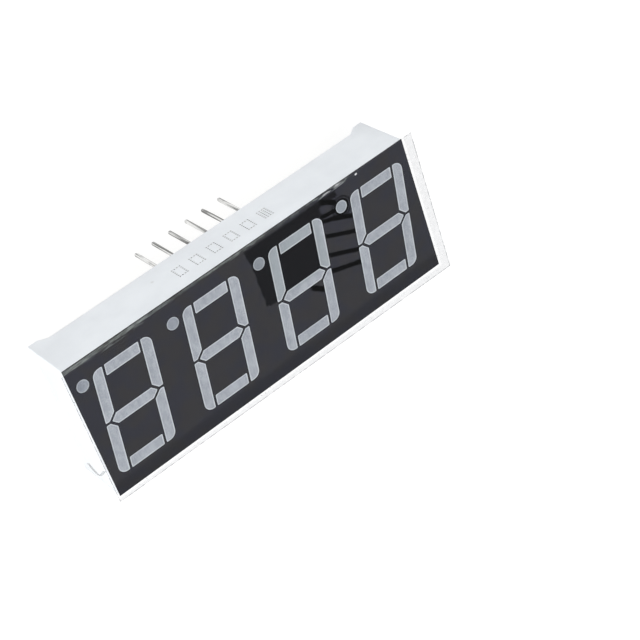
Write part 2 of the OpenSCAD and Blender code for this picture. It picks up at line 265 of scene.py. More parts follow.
def makeContactGroup():
    # where the film clings to the face, and the bare, worn strip that its lower edge leaves, with painted
    # highlights on its crinkle and a painted glint
    wrinkleGroup = makeWrinkleGroup()
    patchGroup = makePatchGroup()
    group, given, result = newGroup(
        "filmContact", [("Place", "NodeSocketVector")],
        [("Wet", "NodeSocketFloat"), ("Crease", "NodeSocketFloat"), ("ScuffAndHighlight", "NodeSocketFloat")])
    inMillimetres = group.nodes.new("ShaderNodeVectorMath")
    inMillimetres.operation = "SCALE"
    inMillimetres.inputs["Scale"].default_value = 1 / mm
    group.links.new(given["Place"], inMillimetres.inputs[0])
    axes = group.nodes.new("ShaderNodeSeparateXYZ")
    group.links.new(inMillimetres.outputs[0], axes.inputs[0])
    x, y = axes.outputs["X"], axes.outputs["Y"]
    wander = calc(group, "MULTIPLY_ADD", mottle(group, given["Place"], 900.0, 3.0), 0.9, -0.45)
    waver = calc(group, "MULTIPLY_ADD", mottle(group, given["Place"], 1500.0, 2.0, (1, 1, 3)), 0.5, -0.25)
    raggedX = calc(group, "ADD", x, wander)
    raggedY = calc(group, "ADD", y, waver)
    masks = []
    for left, right, bottom, top in film["patches"]:
        masks.append(useGroup(group, patchGroup, X=raggedX, Y=raggedY, Left=left, Right=right,
                              Bottom=bottom, Top=top, Soft=0.12)["Mask"])
    creases = []
    bentY = calc(group, "MULTIPLY_ADD", waver, 0.45, y)
    for start, end, halfWidth in film["wrinkles"]:
        length, climb = end[0] - start[0], end[1] - start[1]
        values = {"Start X": start[0], "Start Y": start[1], "Slope": climb / length, "Length": length,
                  "Half Width": halfWidth, "X": x, "Y": bentY}
        creases.append(useGroup(group, wrinkleGroup, **values)["Mask"])
    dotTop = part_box(film["ringed"])[1].z
    dot = [vert.co / mm for vert in nodes[film["ringed"]].data.vertices if vert.co.z > dotTop - 1e-6]
    dotX = (min(co.x for co in dot) + max(co.x for co in dot)) / 2
    dotY = (min(co.y for co in dot) + max(co.y for co in dot)) / 2
    radius = max(co.x for co in dot) - dotX
    offX, offY = calc(group, "SUBTRACT", x, dotX), calc(group, "SUBTRACT", y, dotY)
    away = distance(group, offX, offY)
    creases.append(fade(group, away, radius + 0.32, radius + 0.24))
    second = calc(group, "ABSOLUTE", calc(group, "SUBTRACT", away, radius + 0.54))
    creases.append(fade(group, second, 0.12, 0.05, 0.0, 0.7))
    masks.append(fade(group, y, 7.3, 8.1, 0.0, 0.35))       # clings a little along the top edge
    crease = total(group, *creases)
    group.links.new(crease, result["Crease"])
    group.links.new(total(group, crease, *masks), result["Wet"])
    first, last = filmCorners[-1, -1] / mm, filmCorners[1, -1] / mm
    slope = (last.y - first.y) / (last.x - first.x)
    cut = calc(group, "MULTIPLY_ADD", x, slope, first.y - first.x * slope)
    above = calc(group, "MULTIPLY_ADD", waver, 0.3, calc(group, "SUBTRACT", y, cut))
    fine = spread(group, mottle(group, given["Place"], 3600.0, 3.0, (0.4, 1.3, 1)), 0.35, 1.15)
    slow = mottle(group, given["Place"], 650.0, 3.0, (0.4, 1.6, 1))
    streaks = fade(group, mottle(group, given["Place"], 2600.0, 3.0, (0.35, 2.2, 1)), 0.46, 0.58, 0.0, 1.0)
    bare = useGroup(group, patchGroup, X=x, Y=above, Left=film["bareFrom"], Right=last.x,
                    Bottom=-2.0, Top=0.05, Soft=0.1)["Mask"]
    outerLine = fade(group, y, film["outerLine"], film["outerLine"] + 0.07, 0.1, 1.0)
    bare = product(group, bare, outerLine, fade(group, slow, 0.3, 0.55, 0.45, 1.0))
    # painted highlights: silvery streaks over the bare, worn strip, and over the stretches of crinkle
    # listed in the film table
    stripWearAndSheen = product(group, bare, fine, spread(group, streaks, 0.45, 1.0))
    for left, right, top, share in film["crinkleHighlights"]:
        band = useGroup(group, patchGroup, X=raggedX, Y=above, Left=left, Right=right, Bottom=-0.1, Top=top,
                        Soft=0.15)["Mask"]
        streaky = calc(group, "MULTIPLY", fade(group, slow, 0.42, 0.58, 0.0, share), streaks)
        stripWearAndSheen = calc(group, "MAXIMUM", stripWearAndSheen, calc(group, "MULTIPLY", band, streaky))
    # painted highlight: the bright glint where the crinkle ends
    left, right, bottom, top = film["glint"]
    glint = useGroup(group, patchGroup, X=x, Y=above, Left=left, Right=right, Bottom=bottom, Top=top,
                     Soft=0.1)["Mask"]
    group.links.new(calc(group, "MULTIPLY_ADD", glint, 2.2, stripWearAndSheen), result["ScuffAndHighlight"])
    return group


# materials

def housingMaterial(surfaceGroup):
    look = {"light": (0.765, 0.79, 0.812, 1), "shade": (0.725, 0.75, 0.773, 1),
            "dustSpotAndPitShade": (0.42, 0.41, 0.39, 1), "darkSpotX": 9.5, "darkSpotZ": 3.4}
    material, tree, shader, place = newMaterial("whiteMoulding", 0.45, **{"Specular IOR Level": 0.4})
    surface = useGroup(tree, surfaceGroup, **{"Place": place, "Grain Size": 0.00012, "Dust": 0.035})
    base = tint(tree, fade(tree, surface["Cloud"], 0.3, 0.7), look["light"], look["shade"])
    axes = tree.nodes.new("ShaderNodeSeparateXYZ")
    tree.links.new(place, axes.inputs[0])
    # a darker round spot on the lower long side, centred on the two spot values in look
    offX = calc(tree, "SUBTRACT", axes.outputs["X"], look["darkSpotX"] * mm)
    offZ = calc(tree, "SUBTRACT", axes.outputs["Z"], look["darkSpotZ"] * mm)
    away = distance(tree, offX, offZ)
    mark = calc(tree, "MULTIPLY", fade(tree, away, 0.32 * mm, 0.05 * mm),
                fade(tree, axes.outputs["Y"], -0.009, -0.0094, 0.0, 0.35))
    dustSpotAndPitShade = calc(tree, "MAXIMUM", mark, calc(tree, "MULTIPLY", surface["Dust"], 0.6))
    # painted shade inside the sunk dots, standing in for the shade that falls in them, with some grime that
    # collects there
    low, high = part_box("reflector_housing")
    sunk = fade(tree, axes.outputs["Y"], low.y + 0.005 * mm, low.y + 0.03 * mm)
    notInside = calc(tree, "LESS_THAN", axes.outputs["Y"], low.y + 0.1 * mm)
    middle = fade(tree, calc(tree, "ABSOLUTE", axes.outputs["X"]), high.x * 0.4, high.x * 0.36)
    upper = calc(tree, "GREATER_THAN", axes.outputs["Z"], 3 * mm)
    pitGrimeAndShade = product(tree, sunk, notInside, middle, upper)
    dustSpotAndPitShade = calc(tree, "MAXIMUM", dustSpotAndPitShade, calc(tree, "MULTIPLY", pitGrimeAndShade, 0.95))
    # the dark tint carries dust specks, the dark spot and the painted shade in the sunk dots
    tree.links.new(tint(tree, dustSpotAndPitShade, base, look["dustSpotAndPitShade"]), shader.inputs["Base Color"])
    tree.links.new(spread(tree, surface["Cloud"], 0.38, 0.52), shader.inputs["Roughness"])
    bump(tree, shader, surface["Grain"], 0.006 * mm, 0.5)
    return material


def inkMaterial(surfaceGroup, contactGroup):
    look = {"cool": (0.0165, 0.0165, 0.0245, 1), "warm": (0.0205, 0.0185, 0.018, 1),
            "wet": (0.0048, 0.0048, 0.006, 1), "crease": (0.0005, 0.0005, 0.0006, 1),
            "scuffAndSheen": (0.23, 0.25, 0.24, 1), "glint": (0.85, 0.85, 0.86, 1),
            "speck": (0.25, 0.25, 0.27, 1), "edge": (0.002, 0.002, 0.0025, 1)}
    material, tree, shader, place = newMaterial("blackPrint", 0.4, **{"Specular IOR Level": 0.2})
    surface = useGroup(tree, surfaceGroup, **{"Place": place, "Grain Size": 0.00012, "Dust": 0.02})
    contact = useGroup(tree, contactGroup, Place=place)
    stain = mottle(tree, place, 420.0, 4.0)
    base = tint(tree, fade(tree, stain, 0.38, 0.62), look["cool"], look["warm"])
    base = tint(tree, fade(tree, surface["Grain"], 0.35, 0.75, 0.0, 0.45), base, look["wet"])
    base = tint(tree, contact["Wet"], base, look["wet"])
    base = tint(tree, contact["Crease"], base, look["crease"])
    # painted shade: a dark band along the print's edges, where each opening meets the diffuser's cavity
    edge = tree.nodes.new("ShaderNodeAttribute")
    edge.attribute_name = "openingShadeShare"
    base = tint(tree, calc(tree, "MULTIPLY", edge.outputs["Fac"], 0.95), base, look["edge"])
    # the strip by the lower cut edge is lightened as wear and as painted highlight on the crinkle, and the
    # glint is a painted highlight
    base = tint(tree, contact["ScuffAndHighlight"], base, look["scuffAndSheen"])
    base = tint(tree, fade(tree, contact["ScuffAndHighlight"], 1.0, 2.0), base, look["glint"])
    base = tint(tree, calc(tree, "MULTIPLY", surface["Dust"], 0.4), base, look["speck"])
    tree.links.new(base, shader.inputs["Base Color"])
    satin = spread(tree, surface["Grain"], 0.33, 0.45)
    tree.links.new(calc(tree, "MULTIPLY_ADD", contact["ScuffAndHighlight"], 0.2, satin), shader.inputs["Roughness"])
    bump(tree, shader, surface["Grain"], 0.002 * mm, 0.4)
    return material


barLook = {"light": (0.437, 0.46, 0.496, 1), "dark": (0.3, 0.322, 0.353, 1), "rim": (0.66, 0.69, 0.72, 1),
           "wet": (0.33, 0.37, 0.385, 1)}
pointLook = {"light": (0.33, 0.355, 0.39, 1), "dark": (0.22, 0.24, 0.275, 1), "rim": (0.46, 0.49, 0.52, 1),
             "wet": (0.24, 0.265, 0.285, 1)}


def segmentMaterial(name, look, surfaceGroup, contactGroup):
    material, tree, shader, place = newMaterial(name, 0.3, **{"Specular IOR Level": 0.3})
    surface = useGroup(tree, surfaceGroup, **{"Place": place, "Grain Size": 0.0002, "Dust": 0.01})
    contact = useGroup(tree, contactGroup, Place=place)
    milky = mottle(tree, place, 1800.0, 4.0, (1, 0.5, 1))
    grainy = calc(tree, "MULTIPLY_ADD", surface["Grain"], 0.5, calc(tree, "MULTIPLY", milky, 0.55))
    base = tint(tree, fade(tree, grainy, 0.3, 0.75), look["light"], look["dark"])
    base = tint(tree, calc(tree, "MULTIPLY", contact["Wet"], 0.6), base, look["wet"])
    rim = tree.nodes.new("ShaderNodeAttribute")
    rim.attribute_name = "rimShare"
    base = tint(tree, calc(tree, "MULTIPLY", rim.outputs["Fac"], 0.85), base, look["rim"])
    base = tint(tree, calc(tree, "MULTIPLY", surface["Dust"], 0.4), base, (0.2, 0.21, 0.22, 1))
    tree.links.new(base, shader.inputs["Base Color"])
    tree.links.new(spread(tree, surface["Cloud"], 0.24, 0.4), shader.inputs["Roughness"])
    bump(tree, shader, surface["Grain"], 0.002 * mm, 0.5)
    return material


def filmMaterial(surfaceGroup, contactGroup):
    look = {"haze": (0.17, 0.175, 0.2, 1), "clear": (0.01, 0.01, 0.012, 1), "edge": (0.26, 0.26, 0.27, 1),
            "outside": (0.54, 0.545, 0.555, 1), "hazeAlpha": 0.055, "wetAlpha": 0.05, "edgeAlpha": 0.62,
            "outsideAlpha": 0.2, "glancingAlpha": 0.7, "edgeWidth": 0.13 * mm,
            "fleck": (0.4, 0.4, 0.42, 1), "curl": (0.15, 0.15, 0.148, 1), "curlAlpha": 0.25}
    material, tree, shader, place = newMaterial("clearFilm", 0.12, IOR=2.6)
    surface = useGroup(tree, surfaceGroup, **{"Place": place, "Grain Size": 0.0004, "Dust": 0.03})
    contact = useGroup(tree, contactGroup, Place=place)
    span = tree.nodes.new("ShaderNodeUVMap")
    span.uv_map = "cutSheet"
    uv = tree.nodes.new("ShaderNodeSeparateXYZ")
    tree.links.new(span.outputs["UV"], uv.inputs[0])
    nearest = None
    for axis, length in (("X", cadHigh.x - cadLow.x), ("Y", cadHigh.y - cadLow.y)):
        other = calc(tree, "SUBTRACT", 1.0, uv.outputs[axis])
        inward = calc(tree, "MULTIPLY", calc(tree, "MINIMUM", uv.outputs[axis], other), length)
        nearest = inward if nearest is None else calc(tree, "MINIMUM", nearest, inward)
    curled = calc(tree, "LESS_THAN", nearest, -1 * mm)
    cutEdge = fade(tree, nearest, look["edgeWidth"], look["edgeWidth"] * 0.4)
    axes = tree.nodes.new("ShaderNodeSeparateXYZ")
    tree.links.new(place, axes.inputs[0])
    faceLow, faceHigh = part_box("face_ink")
    beyond = None
    for axis, faceStart, faceEnd in (("X", faceLow.x, faceHigh.x), ("Y", faceLow.y, faceHigh.y)):
        before = calc(tree, "SUBTRACT", faceStart, axes.outputs[axis])
        past = calc(tree, "MAXIMUM", before, calc(tree, "SUBTRACT", axes.outputs[axis], faceEnd))
        beyond = past if beyond is None else calc(tree, "MAXIMUM", beyond, past)
    outside = calc(tree, "GREATER_THAN", beyond, 0.0)
    free = fade(tree, beyond, 0.1 * mm, 0.5 * mm, 0.3, 1.0)
    colour = tint(tree, contact["Wet"], look["haze"], look["clear"])
    colour = tint(tree, outside, colour, look["outside"])
    colour = tint(tree, cutEdge, colour, look["edge"])
    colour = tint(tree, curled, colour, look["curl"])
    flecks = calc(tree, "MULTIPLY", fade(tree, mottle(tree, place, 2600.0, 2.0), 0.62, 0.72), outside)
    colour = tint(tree, flecks, colour, look["fleck"])
    colour = tint(tree, surface["Dust"], colour, (0.75, 0.76, 0.78, 1))
    # painted highlight: the film turns near white and nearly opaque at the glint
    glinting = fade(tree, contact["ScuffAndHighlight"], 1.0, 2.0)
    colour = tint(tree, glinting, colour, (0.9, 0.9, 0.9, 1))
    tree.links.new(colour, shader.inputs["Base Color"])
    alpha = tint(tree, contact["Wet"], (look["hazeAlpha"],) * 3 + (1,), (look["wetAlpha"],) * 3 + (1,))
    alpha = calc(tree, "MULTIPLY", alpha, spread(tree, contact["Crease"], 1.0, 0.1))
    cloud = spread(tree, surface["Cloud"], 0.8, 1.2)
    alpha = calc(tree, "MULTIPLY", alpha, cloud)
    cloudy = spread(tree, mottle(tree, place, 1400.0, 3.0), 0.6, 1.4)
    alpha = calc(tree, "MAXIMUM", alpha, product(tree, outside, free, cloudy, look["outsideAlpha"]))
    gaps = mottle(tree, place, 1800.0, 3.0)
    broken = fade(tree, gaps, 0.4, 0.58, look["edgeAlpha"] * 0.3, look["edgeAlpha"])
    broken = calc(tree, "MULTIPLY", broken, free)
    broken = tint(tree, curled, broken, (look["curlAlpha"],) * 3 + (1,))
    alpha = calc(tree, "MAXIMUM", alpha, calc(tree, "MULTIPLY", cutEdge, broken))
    alpha = calc(tree, "MAXIMUM", alpha, calc(tree, "MULTIPLY", flecks, 0.3))
    # the worn strip and its painted highlights also haze the film a little
    scuffAndSheen = calc(tree, "MINIMUM", contact["ScuffAndHighlight"], 1.0)
    alpha = calc(tree, "MAXIMUM", alpha, calc(tree, "MULTIPLY", scuffAndSheen, 0.22))
    alpha = calc(tree, "MAXIMUM", alpha, calc(tree, "MULTIPLY", glinting, 0.9))
    alpha = calc(tree, "MAXIMUM", alpha, calc(tree, "MULTIPLY", surface["Dust"], 0.35))
    slant = tree.nodes.new("ShaderNodeLayerWeight")
    slant.inputs["Blend"].default_value = 0.5
    glancing = calc(tree, "POWER", slant.outputs["Facing"], 4.0)
    alpha = calc(tree, "MULTIPLY_ADD", glancing, look["glancingAlpha"], alpha, clamp=True)
    tree.links.new(alpha, shader.inputs["Alpha"])
    tree.links.new(spread(tree, surface["Cloud"], 0.06, 0.16), shader.inputs["Roughness"])
    ripple = mottle(tree, place, 380.0, 2.0)
    bump(tree, shader, ripple, 0.05 * mm, 0.5)
    return material


def metalMaterial(name, light, dark, roughness, stretch, scale):
    material, tree, shader, place = newMaterial(name, roughness, Metallic=1.0)
    streaks = mottle(tree, place, scale, 3.0, stretch)
    stain = mottle(tree, place, 700.0, 3.0)
    drawn = tint(tree, fade(tree, streaks, 0.35, 0.65), light, dark)
    dulled = tuple(value * 0.7 for value in dark[:3]) + (1,)
    stained = tint(tree, fade(tree, stain, 0.55, 0.8, 0.0, 0.7), drawn, dulled)
    tree.links.new(stained, shader.inputs["Base Color"])
    tree.links.new(spread(tree, stain, roughness * 0.75, roughness * 1.4), shader.inputs["Roughness"])
    bump(tree, shader, streaks, 0.004 * mm, 0.6)
    return material


def pinMaterial():
    look = {"light": (0.8, 0.8, 0.79, 1), "dark": (0.17, 0.17, 0.165, 1), "cut": (0.1, 0.1, 0.098, 1),
            "darkTipLength": 0.35 * mm}
    material, tree, shader, place = newMaterial("tinnedWire", 0.28, Metallic=1.0)
    drawn = mottle(tree, place, 5200.0, 3.0, (1, 1, 0.03))
    stain = mottle(tree, place, 900.0, 3.0)
    base = tint(tree, fade(tree, drawn, 0.4, 0.62), look["dark"], look["light"])
    base = tint(tree, fade(tree, stain, 0.52, 0.75, 0.0, 0.6), base, look["dark"])
    axes = tree.nodes.new("ShaderNodeSeparateXYZ")
    tree.links.new(place, axes.inputs[0])
    # darker towards the tip: the cut colour covers the last stretch of each wire
    rise = calc(tree, "SUBTRACT", axes.outputs["Z"], cadLow.z)
    base = tint(tree, fade(tree, rise, look["darkTipLength"], 0.0, 0.0, 0.8), base, look["cut"])
    tree.links.new(base, shader.inputs["Base Color"])
    tree.links.new(spread(tree, stain, 0.2, 0.42), shader.inputs["Roughness"])
    bump(tree, shader, drawn, 0.005 * mm, 0.6)
    return material


def castMaterial(name, light, dark, roughness, grainSize, surfaceGroup, **settings):
    material, tree, shader, place = newMaterial(name, roughness, **settings)
    surface = useGroup(tree, surfaceGroup, **{"Place": place, "Grain Size": grainSize, "Dust": 0.03})
    base = tint(tree, fade(tree, surface["Cloud"], 0.3, 0.7), light, dark)
    dust = calc(tree, "MULTIPLY", surface["Dust"], 0.4)
    tree.links.new(tint(tree, dust, base, (0.25, 0.24, 0.22, 1)), shader.inputs["Base Color"])
    cloudy = spread(tree, surface["Cloud"], roughness * 0.8, roughness * 1.3)
    tree.links.new(cloudy, shader.inputs["Roughness"])
    bump(tree, shader, surface["Grain"], 0.004 * mm, 0.5)
    return material


def laminateMaterial():
    # glass cloth seen through the board's resin
    material, tree, shader, place = newMaterial("boardLaminate", 0.4)
    weave = tree.nodes.new("ShaderNodeTexWave")
    weave.inputs["Scale"].default_value = 900.0
    weave.inputs["Distortion"].default_value = 1.0
    plug(tree, place, weave.inputs["Vector"])
    cloth = tint(tree, weave.outputs["Fac"], (0.30, 0.36, 0.17, 1), (0.37, 0.42, 0.22, 1))
    tree.links.new(cloth, shader.inputs["Base Color"])
    tree.links.new(spread(tree, mottle(tree, place, 500.0), 0.3, 0.5), shader.inputs["Roughness"])
    bump(tree, shader, weave.outputs["Fac"], 0.005 * mm, 0.4)
    return material


# mesh helpers

def mergedCopy(*nodeNames):
    # a CAD node comes as loose triangles, so its copy is merged first
    shape = bmesh.new()
    for name in nodeNames:
        shape.from_mesh(nodes[name].data)
    bmesh.ops.remove_doubles(shape, verts=shape.verts, dist=1e-7)
    return shape


def facesAt(shape, height, tolerance=1e-6):
    return [face for face in shape.faces if all(abs(vert.co.z - height) < tolerance for vert in face.verts)]


def block(shape, low, high):
    made = bmesh.ops.create_cube(shape, size=1)["verts"]
    bmesh.ops.scale(shape, vec=high - low, verts=made)
    bmesh.ops.translate(shape, vec=(low + high) / 2, verts=made)
    return made


def toObject(shape, name):
    mesh = bpy.data.meshes.new(name)
    shape.to_mesh(mesh)
    shape.free()
    made = bpy.data.objects.new(name, mesh)
    scene.collection.objects.link(made)
    return made


def combine(piece, other, operation):
    # runs one exact Boolean and keeps its result as the piece's own mesh
    change = piece.modifiers.new("cut", "BOOLEAN")
    change.operation = operation
    change.solver = "EXACT"
    change.object = other
    evaluated = piece.evaluated_get(bpy.context.evaluated_depsgraph_get())
    result = bpy.data.meshes.new_from_object(evaluated)
    piece.modifiers.clear()
    piece.data = result
    bpy.data.objects.remove(other)


def finishPiece(piece, material, replaced, smoothAngle=30, flatArea=1.0):
    for face in piece.data.polygons:
        face.use_smooth = face.area < flatArea
    piece.data.set_sharp_from_angle(angle=math.radians(smoothAngle))
    piece.data.materials.clear()
    piece.data.materials.append(material)
    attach(piece, "root")
    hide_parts(*replaced)


def paintNode(name, material):
    mesh = nodes[name].data
    mesh.materials.clear()
    mesh.materials.append(material)


# housing

housing = {
    "wall": 0.8 * mm,
    "rim": 1.0 * mm,             # height of the skirt's rim above the feet
    "footTip": 1.35 * mm,
    "footRoot": 2.5 * mm,
    "edgeRound": 0.11 * mm,
    "flatArea": 1e-6,            # faces larger than this, in square metres, are shaded flat
    "markColumns": 4,            # a frame of moulded dots over each pin of the lower row
    "markRows": 6,
    "markPitch": 0.37 * mm,
    "markMiddle": 4.7 * mm,
    "markRadius": 0.12 * mm,
    "markDepth": 0.09 * mm,
    "slotReach": 0.55 * mm,      # depth of the relief over the pin heads
    "slotWidth": 1.04 * mm,
    "slotOverrun": 0.3 * mm,     # how far its cutter starts below the pocket's ceiling
    "cavityOverrun": 0.2 * mm,
}


def buildHousing(material):
    low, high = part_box("reflector_housing")
    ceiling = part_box("circuit_board")[1].z
    shape = bmesh.new()
    block(shape, Vector((low.x, low.y, housing["rim"])), high)
    underside = facesAt(shape, housing["rim"])
    bmesh.ops.inset_region(shape, faces=underside, thickness=housing["wall"], use_even_offset=True)
    pocket = min(facesAt(shape, housing["rim"]), key=lambda face: face.calc_center_median().length)
    pushed = bmesh.ops.extrude_face_region(shape, geom=[pocket])["geom"]
    risen = [item for item in pushed if isinstance(item, bmesh.types.BMVert)]
    bmesh.ops.translate(shape, vec=(0, 0, ceiling - housing["rim"]), verts=risen)
    if pocket.is_valid:
        bmesh.ops.delete(shape, geom=[pocket], context="FACES_ONLY")
    for reach in (housing["footTip"], housing["footRoot"]):
        for normal, edge in (((1, 0, 0), high.x), ((0, 1, 0), high.y)):
            for side in (-1, 1):
                everything = shape.verts[:] + shape.edges[:] + shape.faces[:]
                bmesh.ops.bisect_plane(shape, geom=everything, dist=1e-8,
                                       plane_co=Vector(normal) * side * (edge - reach), plane_no=normal)
    near = 1e-6
    for vert in shape.verts:
        inX, inY = high.x - abs(vert.co.x), high.y - abs(vert.co.y)
        onLong = inY < housing["wall"] + near and inX < housing["footTip"] + near
        onShort = inX < housing["wall"] + near and inY < housing["footTip"] + near
        if abs(vert.co.z - housing["rim"]) < near and (onLong or onShort):
            vert.co.z = low.z
    bmesh.ops.dissolve_limit(shape, angle_limit=math.radians(0.5), verts=shape.verts, edges=shape.edges)
    rounded = []
    for edge in shape.edges:
        if len(edge.link_faces) != 2:
            continue
        start, end = (vert.co for vert in edge.verts)
        bent = edge.calc_face_angle() > math.radians(20) and max(start.z, end.z) < ceiling - near
        upright = (start.xy - end.xy).length < near
        atCorner = abs(abs(start.x) - high.x) < near and abs(abs(start.y) - high.y) < near
        if bent or upright and atCorner:
            rounded.append(edge)
    bmesh.ops.bevel(shape, geom=rounded, offset=housing["edgeRound"], offset_type="OFFSET", segments=3,
                    profile=0.5, affect="EDGES", material=-1, clamp_overlap=True)
    bmesh.ops.recalc_face_normals(shape, faces=shape.faces)
    piece = toObject(shape, "housing_moulding")
    combine(piece, buildMarks(low), "DIFFERENCE")
    combine(piece, buildCavities(ceiling), "DIFFERENCE")
    finishPiece(piece, material, ["reflector_housing"], 30, housing["flatArea"])
    return piece


def buildMarks(low):
    # small frames of sunk dots on the lower long side, one over each pin and the first one filled
    shape = bmesh.new()
    columns, rows, pitch = housing["markColumns"], housing["markRows"], housing["markPitch"]
    sideways = Matrix.Rotation(math.pi / 2, 3, "X")
    for name in pinNames[:len(pinNames) // 2]:
        pinLow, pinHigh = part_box(name)
        for column in range(columns):
            for row in range(rows):
                inside = 0 < column < columns - 1 and 0 < row < rows - 1
                if inside and name != pinNames[0]:
                    continue
                dot = bmesh.ops.create_cone(
                    shape, cap_ends=True, segments=10, radius1=housing["markRadius"],
                    radius2=housing["markRadius"] * 0.7, depth=housing["markDepth"] * 2)["verts"]
                bmesh.ops.rotate(shape, verts=dot, cent=(0, 0, 0), matrix=sideways)
                centre = Vector(((pinLow.x + pinHigh.x) / 2 + (column - (columns - 1) / 2) * pitch, low.y,
                                 housing["markMiddle"] + (row - (rows - 1) / 2) * pitch))
                bmesh.ops.translate(shape, verts=dot, vec=centre)
    return toObject(shape, "marks")


def buildCavities(ceiling):
    # every diffuser's convex body, run out a little below the pocket's ceiling
    shape = bmesh.new()
    for name in segmentNames:
        body = mergedCopy(name)
        hull = bmesh.ops.convex_hull(body, input=body.verts)
        loose = [item for item in hull["geom_interior"] if isinstance(item, bmesh.types.BMVert)]
        bmesh.ops.delete(body, geom=loose, context="VERTS")
        skin = set(item for item in hull["geom"] if isinstance(item, bmesh.types.BMFace))
        spare = [face for face in body.faces if face not in skin]
        bmesh.ops.delete(body, geom=spare, context="FACES_ONLY")
        for vert in body.verts:
            if vert.co.z < ceiling + 1e-6:
                vert.co.z -= housing["cavityOverrun"]
        bmesh.ops.recalc_face_normals(body, faces=body.faces)
        mesh = bpy.data.meshes.new("plug")
        body.to_mesh(mesh)
        body.free()
        shape.from_mesh(mesh)
        bpy.data.meshes.remove(mesh)
    for row in (pinNames[0], pinNames[-1]):
        firstLow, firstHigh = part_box(row)
        rowY = (firstLow.y + firstHigh.y) / 2
        halfSlot = housing["slotWidth"] / 2
        reach = max(abs(firstLow.x), abs(firstHigh.x)) + halfSlot - (firstHigh.x - firstLow.x) / 2
        block(shape, Vector((-reach, rowY - halfSlot, ceiling - housing["slotOverrun"])),
              Vector((reach, rowY + halfSlot, ceiling + housing["slotReach"])))
    return toObject(shape, "cavities")


# printed face

ink = {
    "edgeWidth": 0.11 * mm,      # painted shade: width of the darker band along the print's edges at each opening
}


def buildInk(material):
    shape = mergedCopy("face_ink")
    lid = facesAt(shape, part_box("face_ink")[1].z)
    # the band along every edge of the print gets painted shade
    openingShadeShare = shape.verts.layers.float.new("openingShadeShare")
    for vert in shape.verts:
        vert[openingShadeShare] = 1.0
    bmesh.ops.inset_region(shape, faces=lid, thickness=ink["edgeWidth"], use_even_offset=True)
    for face in lid:
        for vert in face.verts:
            vert[openingShadeShare] = 0.0
    piece = toObject(shape, "printed_face")
    finishPiece(piece, material, ["face_ink"])
    return piece


# light diffusers

diffuser = {
    "rimWidth": 0.085 * mm,      # stays under the corner radius
    "sinkWidth": 0.07 * mm,
    "mergeWidth": 0.035 * mm,    # what is left of a corner's arc becomes one point
    "rimSink": 0.001 * mm,
    "sink": 0.01 * mm,           # hollow of the cast surface below the face
    "flatArea": 1e-6,            # faces larger than this, in square metres, are shaded flat
}


def buildDiffuser(name, material):
    shape = mergedCopy(name)
    top = max(vert.co.z for vert in shape.verts)
    lid = bmesh.ops.dissolve_faces(shape, faces=facesAt(shape, top), use_verts=False)["region"]
    rimShare = shape.verts.layers.float.new("rimShare")
    for vert in shape.verts:
        vert[rimShare] = 1.0 if abs(vert.co.z - top) < 1e-6 else 0.0
    for width, depth, share in ((diffuser["rimWidth"], diffuser["rimSink"], 0.8),
                                (diffuser["sinkWidth"], diffuser["sink"], 0.0)):
        bmesh.ops.inset_region(shape, faces=lid, thickness=width, use_even_offset=True)
        inner = list(set(vert for face in lid for vert in face.verts))
        bmesh.ops.translate(shape, vec=(0, 0, -depth), verts=inner)
        for vert in inner:
            vert[rimShare] = share
        bmesh.ops.remove_doubles(shape, verts=inner, dist=diffuser["mergeWidth"])
        top -= depth
        lid = [max(facesAt(shape, top, 5e-7), key=lambda face: face.calc_area())]
    piece = toObject(shape, name + "_diffuser")
    finishPiece(piece, material, [name], 25, diffuser["flatArea"])
    return piece


# film

def buildFilm(material):
    low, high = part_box("protective_film")
    size = high - low
    shape = bmesh.new()
    sheetSpan = shape.loops.layers.uv.new("cutSheet")
    bmesh.ops.create_grid(shape, x_segments=round(size.x / film["gridStep"]),
                          y_segments=round(size.y / film["gridStep"]), size=0.5, calc_uvs=True)
    middle = (low.z + high.z) / 2
    for vert in shape.verts:
        u, v = vert.co.x + 0.5, vert.co.y + 0.5
        lower = filmCorners[-1, -1].lerp(filmCorners[1, -1], u)
        upper = filmCorners[-1, 1].lerp(filmCorners[1, 1], u)
        place = lower.lerp(upper, v)
        slow = noise.noise(Vector((place.x, place.y, 0)) / (5 * mm))
        fine = noise.noise(Vector((place.x * 0.6, place.y, 3 * mm)) / (0.45 * mm))
        nearEdge = max(0.0, 1 - (place.y - lower.y) / film["crinkleWidth"])
        rise = slow * film["lift"] + fine * film["crinkle"] * nearEdge
        room = (size.z - film["thickness"]) / 2
        vert.co = Vector((place.x, place.y, middle + max(-room, min(room, rise))))
    curl = bmesh.ops.create_grid(shape, x_segments=film["curlSteps"], y_segments=2, size=0.5)["verts"]
    stretches = len(film["curl"]) - 1
    for vert in curl:
        along = (vert.co.x + 0.5) * stretches
        index = min(int(along), stretches - 1)
        start, end = Vector(film["curl"][index]), Vector(film["curl"][index + 1])
        place = start.lerp(end, along - index) * mm
        vert.co = Vector((place.x, place.y, middle)) - (0.5 - vert.co.y) * film["curlSide"]
    for face in {face for vert in curl for face in vert.link_faces}:
        for loop in face.loops:
            loop[sheetSpan].uv = (-1, -1)        # marks the curl for its material
    bmesh.ops.solidify(shape, geom=shape.faces[:], thickness=film["thickness"])
    top = max(vert.co.z for vert in shape.verts)
    bmesh.ops.translate(shape, verts=shape.verts, vec=(0, 0, middle + size.z / 2 - top))
    bmesh.ops.recalc_face_normals(shape, faces=shape.faces)
    piece = toObject(shape, "film_sheet")
    finishPiece(piece, material, ["protective_film"], 40)
    return piece


# pins

pin = {
    "sides": 28,
    "tipRound": 0.05 * mm,
    "tipLength": 0.25 * mm,
    "tipRadius": 0.13 * mm,
    "shoulderRound": 0.06 * mm,
    "headChamfer": 0.05 * mm,
}


